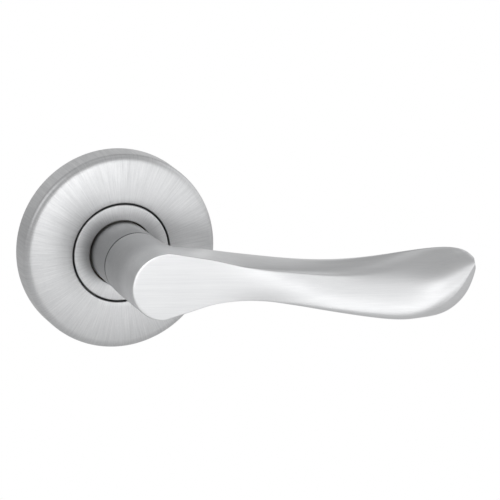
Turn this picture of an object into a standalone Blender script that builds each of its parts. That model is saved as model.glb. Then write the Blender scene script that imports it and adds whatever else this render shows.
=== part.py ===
"""Lever handle on a round rose, one side of a door, with its sprung rose mechanism and spindle.

World frame: +X along the lever, -Y out of the door towards the user, +Z up. The origin is on the
spindle's axis, in the plane of the door's face. Every piece hangs from one of two empties whose local
axes are x = world X, y = up, z = out of the door, so all shapes below are drawn in (x, up, out).
"""

from math import cos, pi, radians, sin

import bmesh
import bpy
from mathutils import Matrix, Vector

MM = 0.001
GAP = 0.3  # assembly gap left between neighbouring pieces

# Rose: the round trim against the door, mm
ROSE_R = 32.5
ROSE_FACE_R = 29.7  # where the flat face ends and the rounded shoulder starts
ROSE_WALL_H = 7.6
ROSE_DEPTH = 10.4
SHEET = 1.2
OPENING_R = 16.6
DISC_R = 15.75
DISC_THICK = 2.0
SKIRT_WALL = 0.8  # the disc's skirt, which centres it on the boss
SKIRT_BACK = 4.0

# Turning neck
COLLAR_R = 10.35
DISC_HOLE_R = 10.8
SHANK_R = 8.0
BORE_R = SHANK_R + GAP
JOINT_DEPTH = 25.4  # the joint line between collar and lever
FRONT_DEPTH = 54.0  # the lever's front face
SHANK_END = -15.5
GROOVE = (-14.1, -12.5)
GROOVE_R = 7.2

FLAT = 6.7  # half the width across the shank's two flats
FLAT_FRONT = -0.6
SLIP_WASHER = 0.6
COLLAR_BACK = 9.0

# Square spindle
SPINDLE = 8.0
SPINDLE_FRONT = 37.0
SPINDLE_BACK = -58.0

# Grub screw under the neck
GRUB_DEPTH = 32.0
GRUB_R = 2.5

# Base plate and the boss that carries the bearing
PLATE_R = 30.7
PLATE_THICK = 2.5
PLATE_SEAT_R = 27.4  # the plate bears on the door outside this radius
PLATE_DISH = 0.5  # and is dished inside it, to clear the cage's ears
BOSS_R = 13.8
BOSS_BORE_R = 10.5
BOSS_DEPTH = 6.7
BUSH_FLANGE_R = 12.6
BUSH_FLANGE = 0.8

# Fixings
BOLT_SPACING = 38.0
BOLT_R = 2.0
BOLT_HEAD_R = 3.6
BOLT_END = -25.0
CAGE_SCREW_Z = 21.0
CAGE_SCREW_R = 1.5
CAGE_SCREW_HEAD_R = 2.8
CLIP_ANGLES = (90.0, 210.0, 330.0)
CLIP_THICK = 0.6
CLIP_WIDTH = 7.0
CLIP_RIVET_R = 24.5
RIVET_R = 1.2
RIVET_HEAD_R = 2.0

# Spring cage, behind the door's face in its 54 mm bore
CAGE_R = 16.0
CAGE_WALL = 1.1
CAGE_DEPTH = -11.5
CAGE_FLOOR = 1.2
CAGE_FRONT = PLATE_DISH - GAP
EAR_R = 4.0
EAR_THICK = 1.2
CAM_HUB_R = 10.9
WAVE_WASHER_R = 11.4
CAM_LUG_R = 14.4
CAM_LUG_DEPTH = (-10.0, -8.1)
LUG_HALF_ANGLE = 14.0
TURN_LIMIT = 45.0
STOP_PIN_R = 1.2
STOP_PIN_AT_R = 13.2
STOP_PLAY = 2.4  # degrees, for the slope of the lug's flanks

# Torsion return spring
SPRING_MEAN_R = 12.3
SPRING_WIRE = 1.6
SPRING_TURNS = 3
SPRING_FRONT = -1.4
SPRING_PITCH = 1.7
LEG_X = -1.0  # the back leg turns down just past the top

ROUND_STEPS = 48
SMALL_STEPS = 32
LEVER_LEVELS = 1


# The lever's arm, by section along x. Each row holds x, then (up, out) for the four corners of the
# section: front top, front bottom, back bottom, back top. Then how far the front swells between its
# corners, and how evenly the front's points are spread (0 keeps them close to the corners, so the edge
# stays crisp; 1 spreads them, so it goes soft). Last, how far the back leans past the front along x,
# and how far the lower wall bulges, which make the slanted wall round the paddle's tip.
ARM = (
    (17.0, (8.2, 54.0), (-5.4, 54.0), (-5.2, 38.6), (9.3, 38.2), 0.0, 0.0, 0.0, 0.4),
    (25.0, (6.2, 54.0), (-4.5, 54.0), (-3.9, 38.6), (8.3, 38.0), 0.1, 0.0, 0.0, 0.4),
    (34.0, (5.5, 53.9), (-4.7, 54.0), (-3.6, 38.8), (7.3, 38.2), 0.3, 0.2, 0.0, 0.4),
    (46.0, (4.6, 53.0), (-7.0, 54.0), (-5.3, 39.4), (6.1, 39.0), 0.4, 0.6, 0.0, 0.4),
    (60.0, (3.6, 51.3), (-9.7, 53.9), (-7.2, 41.0), (6.0, 40.4), 0.7, 1.0, 0.0, 0.4),
    (73.9, (5.0, 49.9), (-12.1, 53.9), (-9.5, 43.4), (7.7, 42.2), 1.3, 1.0, 0.0, 0.4),
    (85.9, (6.4, 48.8), (-12.7, 53.9), (-11.4, 45.6), (10.3, 44.0), 1.5, 1.0, 0.0, 0.9),
    (94.6, (7.6, 48.6), (-7.8, 53.7), (-11.6, 47.4), (11.7, 45.4), 1.8, 0.8, 0.4, 2.9),
    (98.5, (8.2, 49.0), (-5.1, 53.5), (-9.8, 48.3), (11.6, 46.4), 1.6, 0.6, 3.3, 1.8),
    (102.2, (8.6, 49.5), (-1.0, 53.2), (-4.8, 49.0), (10.6, 47.0), 1.1, 0.5, 4.2, 1.2),
    (104.8, (8.4, 50.2), (3.7, 52.4), (1.0, 49.6), (9.0, 48.0), 0.5, 0.5, 3.2, 0.8),
    (106.4, (7.5, 51.1), (5.9, 51.9), (4.4, 50.0), (7.8, 49.0), 0.1, 0.5, 1.6, 0.3),
)
SECTION = 12
NECK_R = 10.4
NECK_ROOT = 31.0  # where the neck's back half starts to turn into the arm
BEND_ABOVE = -0.45  # how much of the neck's rise over the arm is kept at the bend's corner
BEND_BELOW = 0.15
LIMIT = (4 + 2 * cos(2 * pi / SECTION)) / 6  # how far subdivision pulls a ring of points in

# The rings between the neck and the arm: how far the front half has climbed the nose, how far it has
# crossed the front face, and how far the back half has turned the corner of the finger gap.
TURNING = (
    (0.45, 0, 0.16),
    (0.93, 0, 0.34),
    (1, 0, 0.46),
    (1, 0.12, 0.58),
    (1, 0.4, 0.72),
    (1, 0.72, 0.87),
)
EDGE_RING = 5  # the ring on the edge of the nose's front face
EDGE_CREASE = 0.6  # keeps the front face's edge crisp
CRISP_END = 9  # the crease starts to fade at this ring
TOP_FADED = 12  # and is gone at this one along the top
LOW_FADED = 14  # and at this one below
# The edge comes back round the tip: which point of the section, from which ring, and how crisp.
TIP_CREASES = (
    (0, 17, 0.3), (0, 18, 0.5), (0, 19, 0.6),
    (6, 15, 0.2), (6, 16, 0.45), (6, 17, 0.6), (6, 18, 0.7), (6, 19, 0.7),
)
END_CREASE = 0.7
# How much of a section's lean each of its twelve points takes: none in front, all at the back.
LEANS = (0, 0, 0, 0, 0, 0, 0, 0.7, 0.9, 1, 0.65, 0.4)
BACK_SWELL = 2.0


# ---------------------------------------------------------------- helpers

def clear_scene():
    for thing in list(bpy.data.objects):
        bpy.data.objects.remove(thing, do_unlink=True)


def new_collection(name):
    made = bpy.data.collections.new(name)
    bpy.context.scene.collection.children.link(made)
    return made


def new_material(name, colour, roughness, metallic):
    made = bpy.data.materials.new(name)
    made.use_nodes = True
    shader = made.node_tree.nodes["Principled BSDF"]
    shader.inputs["Base Color"].default_value = (*colour, 1)
    shader.inputs["Roughness"].default_value = roughness
    shader.inputs["Metallic"].default_value = metallic
    return made


def new_axis(name):
    """An empty on the spindle's axis whose local z points out of the door and local y up."""
    made = bpy.data.objects.new(name, None)
    made.rotation_euler = (radians(90), 0, 0)
    made.empty_display_size = 0.02
    PARTS.objects.link(made)
    return made


def soften(mesh, angle=35):
    mesh.shade_smooth()
    mesh.set_sharp_from_angle(angle=radians(angle))


def finish(made, parent, material):
    """Put an object with the object's parts, under its axis, with its material."""
    made.parent = parent
    made.data.materials.clear()
    made.data.materials.append(material)
    if made.name not in PARTS.objects:
        PARTS.objects.link(made)
    return made


def object_from(name, bm):
    mesh = bpy.data.meshes.new(name)
    bm.to_mesh(mesh)
    bm.free()
    return bpy.data.objects.new(name, mesh)


def turned(name, profile, parent, material, steps=ROUND_STEPS, closed=True):
    """A solid turned about local z. The profile, (radius, out) in mm, runs down its outer side."""
    bm = bmesh.new()
    corners = [bm.verts.new((r * MM, 0, out * MM)) for r, out in profile]
    for a, b in zip(corners, corners[1:]):
        bm.edges.new((a, b))
    if closed:
        bm.edges.new((corners[-1], corners[0]))
    made = object_from(name, bm)
    screw = made.modifiers.new("turn", "SCREW")
    screw.axis = "Z"
    screw.steps = screw.render_steps = steps
    screw.use_merge_vertices = True
    screw.merge_threshold = 0.00001
    screw.use_smooth_shade = True
    return finish(made, parent, material)


def ring(outer, inner, front, back):
    """The profile of a plain ring between two depths."""
    return [(outer, front), (outer, back), (inner, back), (inner, front)]


def arc(centre, radius, start, end, count):
    """Points of an arc, angles in degrees, both ends included."""
    spread = [radians(start + (end - start) * i / count) for i in range(count + 1)]
    return [(centre[0] + radius * cos(a), centre[1] + radius * sin(a)) for a in spread]


def plate(name, outline, front, back, parent, material):
    """A flat outline in (x, up), mm, filled and extruded between two depths."""
    curve = bpy.data.curves.new(name, "CURVE")
    curve.dimensions = "2D"
    curve.fill_mode = "BOTH"
    curve.extrude = (front - back) / 2 * MM
    spline = curve.splines.new("POLY")
    spline.points.add(len(outline) - 1)
    for point, (x, up) in zip(spline.points, outline):
        point.co = (x * MM, up * MM, 0, 1)
    spline.use_cyclic_u = True
    guide = bpy.data.objects.new(name + "_curve", curve)
    guide.location.z = (front + back) / 2 * MM
    return made_mesh(name, guide, parent, material)


def made_mesh(name, guide, parent, material):
    """Turn a curve object into a closed mesh object of the same place, and drop the curve."""
    bpy.context.scene.collection.objects.link(guide)
    bpy.context.view_layer.update()
    evaluated = guide.evaluated_get(bpy.context.evaluated_depsgraph_get())
    mesh = bpy.data.meshes.new_from_object(evaluated)
    mesh.transform(guide.matrix_world)
    bm = bmesh.new()
    bm.from_mesh(mesh)
    bmesh.ops.remove_doubles(bm, verts=bm.verts, dist=0.000001)
    bmesh.ops.recalc_face_normals(bm, faces=bm.faces)
    bm.to_mesh(mesh)
    bm.free()
    mesh.name = name
    made = bpy.data.objects.new(name, mesh)
    bpy.data.objects.remove(guide, do_unlink=True)
    soften(mesh)
    return finish(made, parent, material)


def cutter(made):
    """Move a shape to the cutters, out of the render."""
    for home in list(made.users_collection):
        home.objects.unlink(made)
    CUTTERS.objects.link(made)
    made.hide_render = True
    made.display_type = "WIRE"
    return made


def boolean(target, tool, operation="DIFFERENCE"):
    cut = target.modifiers.new(operation.lower(), "BOOLEAN")
    cut.operation = operation
    cut.object = cutter(tool)
    cut.solver = "EXACT"


def rod(name, radius, start, end, parent, steps=SMALL_STEPS):
    """A plain cylinder between two points, (x, up, out) in mm."""
    start, end = Vector(start) * MM, Vector(end) * MM
    along = end - start
    bm = bmesh.new()
    bmesh.ops.create_cone(
        bm, cap_ends=True, segments=steps, radius1=radius * MM, radius2=radius * MM, depth=along.length
    )
    turn = Vector((0, 0, 1)).rotation_difference(along).to_matrix().to_4x4()
    bm.transform(Matrix.Translation((start + end) / 2) @ turn)
    made = object_from(name, bm)
    return finish(made, parent, STEEL)


def block(name, low, high, parent):
    """A box between two corners, (x, up, out) in mm."""
    low, high = Vector(low) * MM, Vector(high) * MM
    bm = bmesh.new()
    bmesh.ops.create_cube(bm, size=1)
    bm.transform(Matrix.Translation((low + high) / 2) @ Matrix.Diagonal((*(high - low), 1)))
    made = object_from(name, bm)
    return finish(made, parent, STEEL)


def at_angle(radius, degrees):
    """A point at a clock position, counted anticlockwise from +x as seen from the front."""
    return radius * cos(radians(degrees)), radius * sin(radians(degrees))


# ---------------------------------------------------------------- rose

def rose_cover():
    shoulder = ROSE_R - 0.2
    across, rise = shoulder - ROSE_FACE_R, ROSE_DEPTH - ROSE_WALL_H
    outer = [(ROSE_R, 0), (shoulder, ROSE_WALL_H)]
    roll = []
    for step in range(1, 5):
        turn = radians(90 * step / 4)
        roll.append((ROSE_FACE_R + across * cos(turn), ROSE_WALL_H + rise * sin(turn)))
    lip = [(OPENING_R + 0.3, ROSE_DEPTH), (OPENING_R, ROSE_DEPTH - 0.3)]
    inside = [
        (OPENING_R, ROSE_DEPTH - SHEET),
        (ROSE_FACE_R - 0.2, ROSE_DEPTH - SHEET),
        (shoulder - SHEET, ROSE_WALL_H),
        (ROSE_R - SHEET, 0),
    ]
    profile = list(reversed(outer + roll + lip + inside))
    return turned("rose_cover", profile, ROSE, STAINLESS)


def centre_disc():
    front, back = ROSE_DEPTH, ROSE_DEPTH - DISC_THICK
    rim = arc((DISC_R - 0.5, front - 0.5), 0.5, 90, 0, 3)
    inner = BOSS_R + GAP
    outer = inner + SKIRT_WALL
    profile = rim + [
        (DISC_R, back), (outer, back), (outer, SKIRT_BACK), (inner, SKIRT_BACK),
        (inner, back), (DISC_HOLE_R, back), (DISC_HOLE_R, front),
    ]
    return turned("centre_disc", profile, ROSE, STAINLESS)


def base_plate():
    profile = [
        (BOSS_R, BOSS_DEPTH), (BOSS_R, PLATE_THICK), (PLATE_R, PLATE_THICK), (PLATE_R, 0),
        (PLATE_SEAT_R, 0), (PLATE_SEAT_R, PLATE_DISH), (BOSS_BORE_R, PLATE_DISH), (BOSS_BORE_R, BOSS_DEPTH),
    ]
    made = turned("base_plate", profile, ROSE, ZINC)
    holes = [((side * BOLT_SPACING / 2, 0), BOLT_R + GAP) for side in (-1, 1)]
    holes += [((0, side * CAGE_SCREW_Z), CAGE_SCREW_R + GAP) for side in (-1, 1)]
    holes += [(at_angle(CLIP_RIVET_R, angle), RIVET_R + GAP) for angle in CLIP_ANGLES]
    for index, ((x, up), radius) in enumerate(holes):
        boolean(made, rod(f"plate_hole_{index}", radius, (x, up, -2), (x, up, 5), ROSE, 24))
    return made


def cover_clip(index, angle):
    """A leaf of spring steel riveted to the plate, whose bowed tongue grips inside the cover."""
    foot = PLATE_THICK + GAP
    half = CLIP_THICK / 2
    middle = [
        (21.8, foot + half), (28.6, foot + half), (29.6, foot + 1.0), (30.5, foot + 2.6), (30.0, foot + 4.6),
    ]
    front, back = [], []
    for i, (r, out) in enumerate(middle):
        before, after = middle[max(i - 1, 0)], middle[min(i + 1, len(middle) - 1)]
        run = Vector((after[0] - before[0], after[1] - before[1])).normalized()
        side = Vector((-run.y, run.x)) * half
        front.append((r + side.x, out + side.y))
        back.append((r - side.x, out - side.y))
    name = f"cover_clip_{index}"
    made = plate(name, front + back[::-1], CLIP_WIDTH / 2, -CLIP_WIDTH / 2, ROSE, SPRING_STEEL)
    # The outline was drawn in (radius, out): stand it up in its own radial plane.
    stand = Matrix.Rotation(radians(angle), 4, "Z") @ Matrix.Rotation(radians(90), 4, "X")
    made.data.transform(stand)
    x, up = at_angle(CLIP_RIVET_R, angle)
    boolean(made, rod(f"clip_hole_{index}", RIVET_R + GAP, (x, up, 1), (x, up, 5), ROSE, 16))
    return made


def clip_rivet(index, angle):
    top = PLATE_THICK + GAP + CLIP_THICK + GAP
    tail = PLATE_DISH + 0.1
    profile = [
        (0, top + 0.9), (1.1, top + 0.75), (RIVET_HEAD_R, top + 0.2), (RIVET_HEAD_R, top),
        (RIVET_R, top), (RIVET_R, tail), (0, tail),
    ]
    made = turned(f"clip_rivet_{index}", profile, ROSE, SPRING_STEEL, 20, closed=False)
    x, up = at_angle(CLIP_RIVET_R, angle)
    made.location = (x * MM, up * MM, 0)
    return made


def bearing_bush():
    back = 0.2
    flange_back = BOSS_DEPTH + GAP
    front = flange_back + BUSH_FLANGE
    outer = BOSS_BORE_R - GAP
    profile = [
        (BUSH_FLANGE_R, front), (BUSH_FLANGE_R, flange_back), (outer, flange_back), (outer, back),
        (BORE_R, back), (BORE_R, front),
    ]
    return turned("bearing_bush", profile, ROSE, BRONZE, 48)


# ---------------------------------------------------------------- spring cage

def spring_cage():
    """A cup for the spring with two ears that screw to the back of the plate."""
    front = CAGE_FRONT
    inner = CAGE_R - CAGE_WALL
    floor = CAGE_DEPTH + CAGE_FLOOR
    profile = [
        (CAGE_R, front), (CAGE_R, CAGE_DEPTH + 0.8), (CAGE_R - 0.8, CAGE_DEPTH), (BORE_R + GAP, CAGE_DEPTH),
        (BORE_R + GAP, floor), (inner, floor), (inner, front),
    ]
    made = turned("spring_cage", profile, ROSE, STEEL, 48)
    for side, name in ((1, "upper"), (-1, "lower")):
        ear = [(-EAR_R, side * (inner + 0.4)), (EAR_R, side * (inner + 0.4))]
        for a in range(0, 181, 30):
            x, up = at_angle(EAR_R, a)
            ear.append((x, side * (CAGE_SCREW_Z + up)))
        boolean(made, plate(f"cage_ear_{name}", ear, front, front - EAR_THICK, ROSE, STEEL), "UNION")
        boolean(made, rod(f"ear_hole_{name}", CAGE_SCREW_R + GAP, (0, side * CAGE_SCREW_Z, -5),
                          (0, side * CAGE_SCREW_Z, 2), ROSE, 20))
    # The slot in the wall that holds the spring's front leg.
    slot = SPRING_WIRE / 2 + 0.5
    low, high = (inner - 2, -slot, SPRING_FRONT - slot), (CAGE_R + 2, slot, front + 1)
    boolean(made, block("leg_slot", low, high, ROSE))
    for angle in stop_angles():
        x, up = at_angle(STOP_PIN_AT_R, angle)
        boolean(made, rod(f"stop_hole_{angle:.0f}", STOP_PIN_R + GAP, (x, up, CAGE_DEPTH - 2),
                          (x, up, floor + 1), ROSE, 16))
    return made


def cage_screw(name, side):
    """A short pan-head screw from behind, through the cage's ear into the plate."""
    head = CAGE_FRONT - EAR_THICK - GAP
    tip, crown = 1.9, head - 1.7
    profile = [
        (0, tip), (CAGE_SCREW_R - 0.2, tip), (CAGE_SCREW_R, tip - 0.2), (CAGE_SCREW_R, head),
        (CAGE_SCREW_HEAD_R, head), (CAGE_SCREW_HEAD_R, head - 1.2), (CAGE_SCREW_HEAD_R - 0.6, crown),
        (0, crown),
    ]
    made = turned(name, profile, ROSE, STEEL, 24, closed=False)
    made.location.y = side * CAGE_SCREW_Z * MM
    slot = block(name + "_slot", (-4, -0.35, head - 3), (4, 0.35, head - 0.8), ROSE)
    slot.location.y = side * CAGE_SCREW_Z * MM
    boolean(made, slot)
    return made


def stop_angles():
    """Where the lug's flanks meet the stop pins at the ends of its turn, either side of the top."""
    pin_half = STOP_PIN_R / STOP_PIN_AT_R * 180 / pi
    reach = TURN_LIMIT + LUG_HALF_ANGLE + pin_half + STOP_PLAY
    return 90 + reach, 90 - reach


def stop_pin(name, angle):
    """A pin riveted in the cage's floor, with a head behind it."""
    back = CAGE_DEPTH - GAP
    tip = CAM_LUG_DEPTH[1]
    profile = [(0, tip), (STOP_PIN_R - 0.2, tip), (STOP_PIN_R, tip - 0.2), (STOP_PIN_R, back),
               (STOP_PIN_R + 0.7, back), (STOP_PIN_R + 0.5, back - 0.6), (0, back - 0.6)]
    made = turned(name, profile, ROSE, STEEL, 20, closed=False)
    x, up = at_angle(STOP_PIN_AT_R, angle)
    made.location = (x * MM, up * MM, 0)
    return made


def drive_cam():
    """The hub that the shank's flats drive, with the lug that meets the stop pins."""
    outline = [at_angle(CAM_HUB_R, 90 + LUG_HALF_ANGLE * 1.4 + (360 - LUG_HALF_ANGLE * 2.8) * i / 40)
               for i in range(41)]
    outline += [at_angle(CAM_LUG_R, 90 + a) for a in (-LUG_HALF_ANGLE, -7, 0, 7, LUG_HALF_ANGLE)]
    made = plate("drive_cam", outline, CAM_LUG_DEPTH[1], CAM_LUG_DEPTH[0], LEVER_AXIS, STEEL)
    hub = turned("cam_hub", ring(CAM_HUB_R - 0.2, 4, -0.9, CAM_LUG_DEPTH[1] - 0.5), LEVER_AXIS, STEEL, 48)
    boolean(made, hub, "UNION")
    # The hole is round with two flats, to key on the shank.
    hole = rod("cam_bore", BORE_R, (0, 0, -14), (0, 0, 2), LEVER_AXIS, 48)
    for side in (-1, 1):
        low, high = sorted((side * (FLAT + GAP), side * 12))
        boolean(hole, block(f"bore_flat_{side}", (-12, low, -16), (12, high, 4), LEVER_AXIS))
    boolean(made, hole)
    x, up = LEG_X, SPRING_MEAN_R
    boolean(made, rod("leg_hole", SPRING_WIRE / 2 + GAP, (x, up, -12), (x, up, -7), LEVER_AXIS, 16))
    return made


def return_spring():
    """Torsion spring: its front leg goes out through the cage's slot, its back leg into the cam's lug."""
    per_turn = 16
    count = int(per_turn * (SPRING_TURNS + 0.25))
    coil = []
    for i in range(count + 1):
        angle = 2 * pi * i / per_turn
        drop = SPRING_PITCH * i / per_turn
        coil.append((SPRING_MEAN_R * cos(angle), SPRING_MEAN_R * sin(angle), SPRING_FRONT - drop))
    front_leg = [(CAGE_R + 0.5, 0, SPRING_FRONT), (SPRING_MEAN_R + 1.6, 0, SPRING_FRONT)]
    out = coil[-1][2]
    back_leg = [(LEG_X, SPRING_MEAN_R, out - 0.7), (LEG_X, SPRING_MEAN_R, CAM_LUG_DEPTH[0] + 0.4)]
    path = front_leg + coil[:-1] + back_leg
    curve = bpy.data.curves.new("return_spring", "CURVE")
    curve.dimensions = "3D"
    curve.bevel_depth = SPRING_WIRE / 2 * MM
    curve.bevel_resolution = 2
    curve.use_fill_caps = True
    spline = curve.splines.new("POLY")
    spline.points.add(len(path) - 1)
    for point, place in zip(spline.points, path):
        point.co = (*[v * MM for v in place], 1)
    made = bpy.data.objects.new("return_spring", curve)
    return finish(made, ROSE, SPRING_STEEL)


# ---------------------------------------------------------------- fixings

def through_bolt(name, side):
    """An M4 bolt that clamps the rose to the rose on the other side of the door."""
    head = PLATE_THICK + GAP
    profile = [(0, head + 2.4), (2.4, head + 2.4), (3.3, head + 1.7), (BOLT_HEAD_R, head + 0.8),
               (BOLT_HEAD_R, head), (BOLT_R, head), (BOLT_R, BOLT_END + 0.6), (BOLT_R - 0.6, BOLT_END),
               (0, BOLT_END)]
    made = turned(name, profile, ROSE, STEEL, 24, closed=False)
    made.location.x = side * BOLT_SPACING / 2 * MM
    for arm, (wide, tall) in enumerate(((2.2, 0.4), (0.4, 2.2))):
        slot = block(f"{name}_recess_{arm}", (-wide, -tall, head + 0.9), (wide, tall, head + 4), ROSE)
        slot.location.x = side * BOLT_SPACING / 2 * MM
        boolean(made, slot)
    return made


# ---------------------------------------------------------------- turning pieces

def neck_collar():
    front, back = JOINT_DEPTH - GAP, COLLAR_BACK
    edge = 0.25
    profile = [(COLLAR_R - edge, front), (COLLAR_R, front - edge), (COLLAR_R, back), (BORE_R, back),
               (BORE_R, front)]
    return turned("neck_collar", profile, LEVER_AXIS, STAINLESS)


def slip_washer():
    front = COLLAR_BACK - GAP
    return turned("slip_washer", ring(COLLAR_R, BORE_R, front, front - SLIP_WASHER), LEVER_AXIS, NYLON, 40)


def wave_washer():
    """A spring washer whose ring rises and falls three times."""
    middle, half_thick, rise = CAGE_DEPTH - 0.65, 0.2, 0.15
    bm = bmesh.new()
    rings = []
    for step in range(ROUND_STEPS):
        angle = 2 * pi * step / ROUND_STEPS
        lift = middle + rise * cos(3 * angle)
        section = []
        for r, out in ring(WAVE_WASHER_R, BORE_R, lift + half_thick, lift - half_thick):
            section.append(bm.verts.new((r * cos(angle) * MM, r * sin(angle) * MM, out * MM)))
        rings.append(section)
    for this, following in zip(rings, rings[1:] + rings[:1]):
        for k in range(4):
            bm.faces.new((this[k], this[(k + 1) % 4], following[(k + 1) % 4], following[k]))
    bmesh.ops.recalc_face_normals(bm, faces=bm.faces)
    made = object_from("wave_washer", bm)
    soften(made.data)
    return finish(made, LEVER_AXIS, SPRING_STEEL)


def circlip():
    """An external retaining ring: open at the bottom, with two eared ends."""
    inner, wide, ear = GROOVE_R + GAP, 9.7, 12.0
    gap_half, ear_half = 9, 20
    outer_arc = [at_angle(wide, a) for a in range(-90 + ear_half + 8, 270 - ear_half - 7, 8)]
    ear_right = [at_angle(ear, -90 + gap_half + 1), at_angle(ear, -90 + ear_half)]
    ear_left = [at_angle(ear, 270 - ear_half), at_angle(ear, 270 - gap_half - 1)]
    inner_arc = [at_angle(inner, 270 - gap_half - i * (360 - 2 * gap_half) / 40) for i in range(41)]
    front = (GROOVE[0] + GROOVE[1]) / 2 + 0.5
    outline = ear_right + outer_arc + ear_left + inner_arc
    made = plate("circlip", outline, front, front - 1.0, LEVER_AXIS, SPRING_STEEL)
    for side in (-1, 1):
        x, up = at_angle(10.7, -90 + side * 14.5)
        boolean(made, rod(f"circlip_eye_{side}", 0.7, (x, up, front - 3), (x, up, front + 2), LEVER_AXIS, 12))
    return made


def spindle():
    half, chamfer = SPINDLE / 2, 0.8
    made = block("spindle", (-half, -half, SPINDLE_BACK), (half, half, SPINDLE_FRONT), LEVER_AXIS)
    bevel = made.modifiers.new("edges", "BEVEL")
    bevel.width = chamfer / 2 * MM
    bevel.segments = 2
    return finish(made, LEVER_AXIS, STEEL)


def grub_screw():
    """The socket screw under the neck that locks the lever on the spindle."""
    tip = -(SPINDLE / 2 + GAP)
    profile = [(0, 5.6), (GRUB_R - 0.3, 5.6), (GRUB_R, 5.3), (GRUB_R, 0.5), (1.4, 0), (0, 0)]
    made = turned("grub_screw", profile, LEVER_AXIS, STEEL, 24, closed=False)
    made.rotation_euler = (radians(90), 0, 0)
    made.location = (0, tip * MM, GRUB_DEPTH * MM)
    bm = bmesh.new()
    bmesh.ops.create_cone(bm, cap_ends=True, segments=6, radius1=1.45 * MM, radius2=1.45 * MM, depth=6 * MM)
    key = finish(object_from("grub_socket", bm), LEVER_AXIS, STEEL)
    key.rotation_euler = (radians(90), 0, 0)
    key.location = (0, (tip - 2.6 - 3) * MM, GRUB_DEPTH * MM)
    boolean(made, key)
    return made


def neck_ring(radius, out):
    grown = radius / LIMIT
    turns = [2 * pi * k / SECTION for k in range(SECTION)]
    return [(-grown * sin(turn), grown * cos(turn), out) for turn in turns]


def between(a, b, share, swell):
    """A point along the straight line a to b in (up, out), moved off it to the left of a to b."""
    along = Vector(b) - Vector(a)
    side = Vector((-along.y, along.x)).normalized()
    return Vector(a).lerp(Vector(b), share) + side * swell


def arm_section(x, front_top, front_low, back_low, back_top, swell, spread, lean, wall):
    """Twelve points round the arm: seven down the front, then up its back."""
    section = []
    for k in range(7):
        share = (1 - cos(pi * k / 6)) / 2 * (1 - spread) + k / 6 * spread
        section.append(between(front_top, front_low, share, -swell * 4 * share * (1 - share)))
    section.append(between(front_low, back_low, 0.5, -wall))
    section.append(Vector(back_low))
    section.append(between(back_low, back_top, 0.5, -BACK_SWELL + lean * 0.4))
    section.append(Vector(back_top))
    section.append(between(back_top, front_top, 0.5, -0.4))
    return [(x + lean * share, up, out) for share, (up, out) in zip(LEANS, section)]


def bend(start, end, share):
    """A point on the curve by which the back of the neck turns into the back of the arm."""
    keep = BEND_ABOVE if start.y > 0 else BEND_BELOW
    corner = Vector((start.x, end.y + (start.y - end.y) * keep, end.z))
    return start.lerp(corner, share).lerp(corner.lerp(end, share), share)


def lever_rings():
    """Rings of twelve points from the neck's back face, round the corner and out to the tip."""
    neck_top = neck_ring(NECK_R + 0.2, NECK_ROOT)
    nose = neck_ring(NECK_R, FRONT_DEPTH)
    arm_start = arm_section(*ARM[0])
    rings = [neck_ring(NECK_R, JOINT_DEPTH), neck_ring(NECK_R, JOINT_DEPTH + 1.0), neck_top]
    # The front half climbs the nose to its edge, then crosses the flat front face, as arcs that
    # straighten towards the arm.
    for climb, across, turn in TURNING:
        loop = []
        for k in range(SECTION):
            low, high, end = Vector(neck_top[k]), Vector(nose[k]), Vector(arm_start[k])
            if k <= 6:
                loop.append(tuple(low.lerp(high, climb).lerp(end, across)))
            else:
                loop.append(tuple(bend(low, end, turn)))
        rings.append(loop)
    rings += [arm_section(*row) for row in ARM]
    return rings


def lever_cage():
    bm = bmesh.new()
    crease = bm.edges.layers.float.new("crease_edge")
    rings = [[bm.verts.new(Vector(p) * MM) for p in loop] for loop in lever_rings()]
    for a, b in zip(rings, rings[1:]):
        for k in range(SECTION):
            n = (k + 1) % SECTION
            bm.faces.new((a[k], b[k], b[n], a[n]))
    bm.faces.new(rings[0])
    end = rings[-1]
    for corners in ((0, 1, 10, 11), (1, 2, 9, 10), (2, 3, 4, 9), (4, 5, 8, 9), (5, 6, 7, 8)):
        bm.faces.new([end[k] for k in reversed(corners)])
    bmesh.ops.recalc_face_normals(bm, faces=bm.faces)

    def set_crease(a, b, value):
        bm.edges.get((a, b))[crease] = value

    for k in range(SECTION):
        set_crease(rings[0][k], rings[0][(k + 1) % SECTION], 1.0)
    edge = rings[EDGE_RING]
    for k in range(6):
        set_crease(edge[k], edge[k + 1], EDGE_CREASE)
    for k, faded in ((0, TOP_FADED), (6, LOW_FADED)):
        for i in range(EDGE_RING, faded):
            weight = EDGE_CREASE * min(1, (faded - i) / (faded - CRISP_END))
            set_crease(rings[i][k], rings[i + 1][k], weight)
    for k, i, weight in TIP_CREASES:
        set_crease(rings[i][k], rings[i + 1][k], weight)
    for k in range(6):
        set_crease(end[k], end[k + 1], END_CREASE)
    return object_from("lever", bm)


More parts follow.
